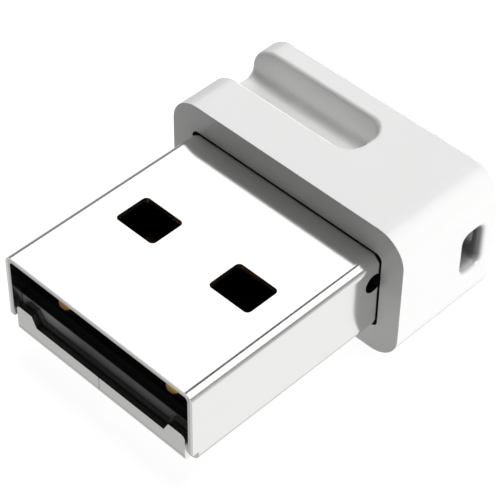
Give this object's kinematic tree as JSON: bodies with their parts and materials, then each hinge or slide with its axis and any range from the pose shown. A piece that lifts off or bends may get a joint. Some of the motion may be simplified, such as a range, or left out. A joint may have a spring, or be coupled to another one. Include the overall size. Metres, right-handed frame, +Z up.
{
  "type": "usb wifi adapter",
  "caption": "Nano USB Wi-Fi adapter: bare metal USB A plug in a short white moulded cap with a finger groove across the top and a lanyard eye at the rear corner.",
  "frame": {"origin": "on the USB plug's axis, in the plane of the cap's flat front face, where a socket's rim comes to rest", "axes": "+X to the right across the plug, +Y from the plug's mouth to the back of the cap, +Z up, with the contacts facing up; the plug points along -Y"},
  "size_m": [0.0148, 0.0185, 0.0078],
  "materials": {
    "cap": "gloss white, moulded",
    "plug_shell": "bright nickel plate on folded steel",
    "contact_carrier": "satin black",
    "contacts": "gold plated",
    "circuit_board": "green solder mask",
    "printed_antenna": "copper",
    "wifi_chip": "satin dark grey",
    "solder_and_tin": "tinned",
    "crystal_base": "matt ceramic",
    "crystal_lid": "satin metal",
    "capacitors": "matt ceramic",
    "coils": "matt ferrite and ceramic",
    "resistors": "matt black"
  },
  "bodies": {
    "root": {"cap": "cap", "plug_shell": "plug_shell", "contact_carrier": "contact_carrier", "contact_vbus": "contacts", "contact_data_minus": "contacts", "contact_data_plus": "contacts", "contact_ground": "contacts", "circuit_board": "circuit_board", "printed_antenna": "printed_antenna", "wifi_chip": "wifi_chip", "wifi_chip_leads": "solder_and_tin", "crystal_base": "crystal_base", "crystal_lid": "crystal_lid", "decoupling_capacitors": "capacitors", "crystal_capacitors": "capacitors", "bulk_capacitors": "capacitors", "antenna_matching_parts": "coils", "power_inductor": "coils", "resistors": "resistors", "surge_protector": "resistors", "component_terminals": "solder_and_tin", "contact_solder": "solder_and_tin", "ground_solder": "solder_and_tin"}
  },
  "joints": []
}
